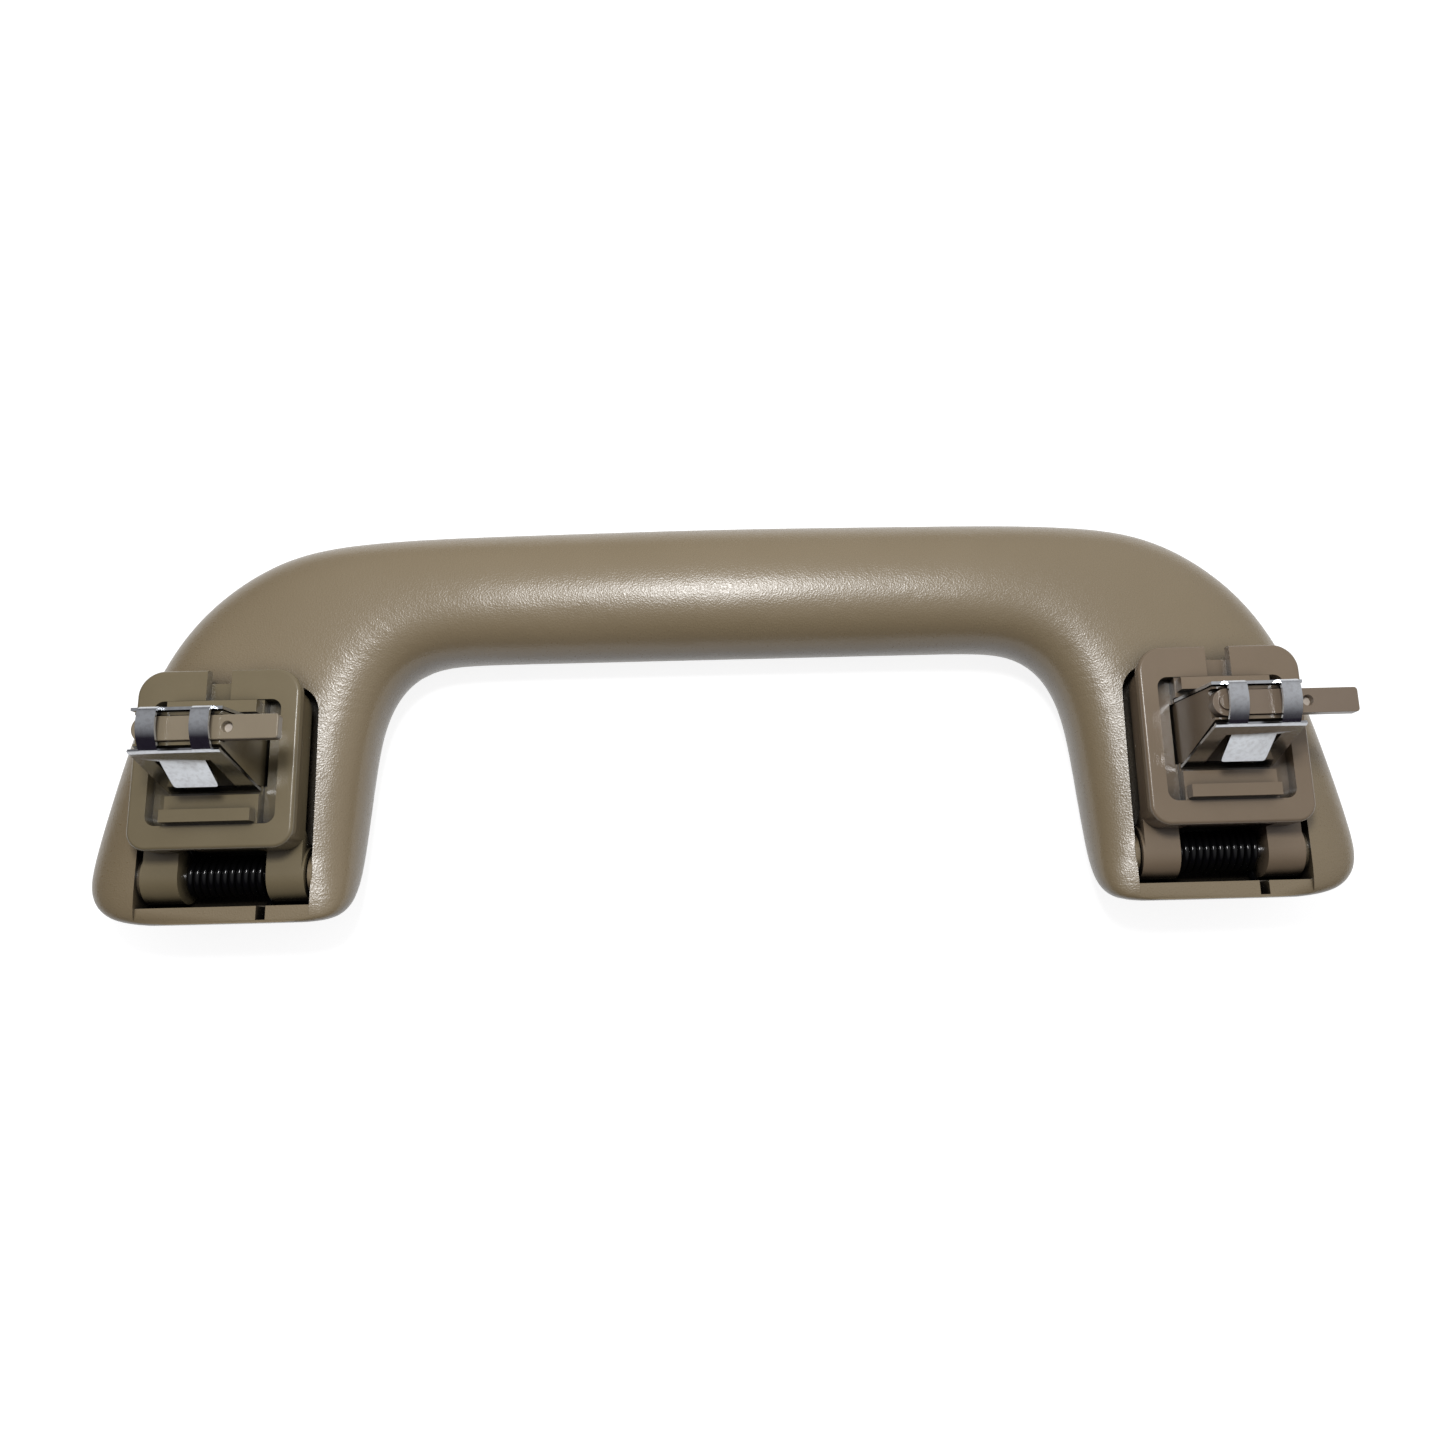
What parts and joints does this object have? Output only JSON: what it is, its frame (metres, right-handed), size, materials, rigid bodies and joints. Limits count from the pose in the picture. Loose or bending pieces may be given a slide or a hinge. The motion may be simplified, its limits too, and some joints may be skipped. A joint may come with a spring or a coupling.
{
  "type": "retractable roof grab handle",
  "caption": "Bow-shaped grab handle whose feet pivot on two sprung brackets, each with a flange, a tower and a bent sheet clip that snaps into a roof opening.",
  "frame": {"origin": "midway between the two brackets, on the plane of their flange faces, which is the roof lining's plane", "axes": "+X along the handle, +Y from the hinges to the grip, +Z out of the roof side, towards the vehicle's roof"},
  "size_m": [0.243, 0.0789, 0.0457],
  "materials": {
    "grained_plastic": "fine leather grain, satin",
    "smooth_plastic": "smooth moulded, slightly glossy",
    "strip_plastic": "smooth moulded",
    "zinc_steel": "bright zinc plate",
    "black_steel": "glossy black oxide, oiled",
    "pin_steel": "plain turned"
  },
  "bodies": {
    "handle": {"handle": "grained_plastic", "left_pin": "pin_steel", "right_pin": "pin_steel", "left_spring": "black_steel", "right_spring": "black_steel"},
    "left_bracket": {"left_bracket": "smooth_plastic", "left_clip": "zinc_steel"},
    "right_bracket": {"right_bracket": "smooth_plastic", "right_clip": "zinc_steel"},
    "left_strip": {"left_strip": "strip_plastic"},
    "right_strip": {"right_strip": "strip_plastic"}
  },
  "joints": [
    {"name": "left_bracket_hinge", "type": "hinge", "parent": "handle", "child": "left_bracket", "pos_m": [-0.094, -0.0209, -0.01155], "axis": [1, 0, 0], "range_deg": [0, 88], "stiffness_Nm_per_rad": 0.1, "springref_deg": -57.3, "deforming": ["left_spring"]},
    {"name": "left_strip_slide", "type": "slide", "parent": "left_bracket", "child": "left_strip", "axis": [-1, 0, 0], "range_m": [0, 0.01]},
    {"name": "right_bracket_hinge", "type": "hinge", "parent": "handle", "child": "right_bracket", "pos_m": [0.094, -0.0209, -0.01155], "axis": [1, 0, 0], "range_deg": [0, 88], "stiffness_Nm_per_rad": 0.1, "springref_deg": -57.3, "deforming": ["right_spring"]},
    {"name": "right_strip_slide", "type": "slide", "parent": "right_bracket", "child": "right_strip", "axis": [-1, 0, 0], "range_m": [0, 0.01]}
  ]
}
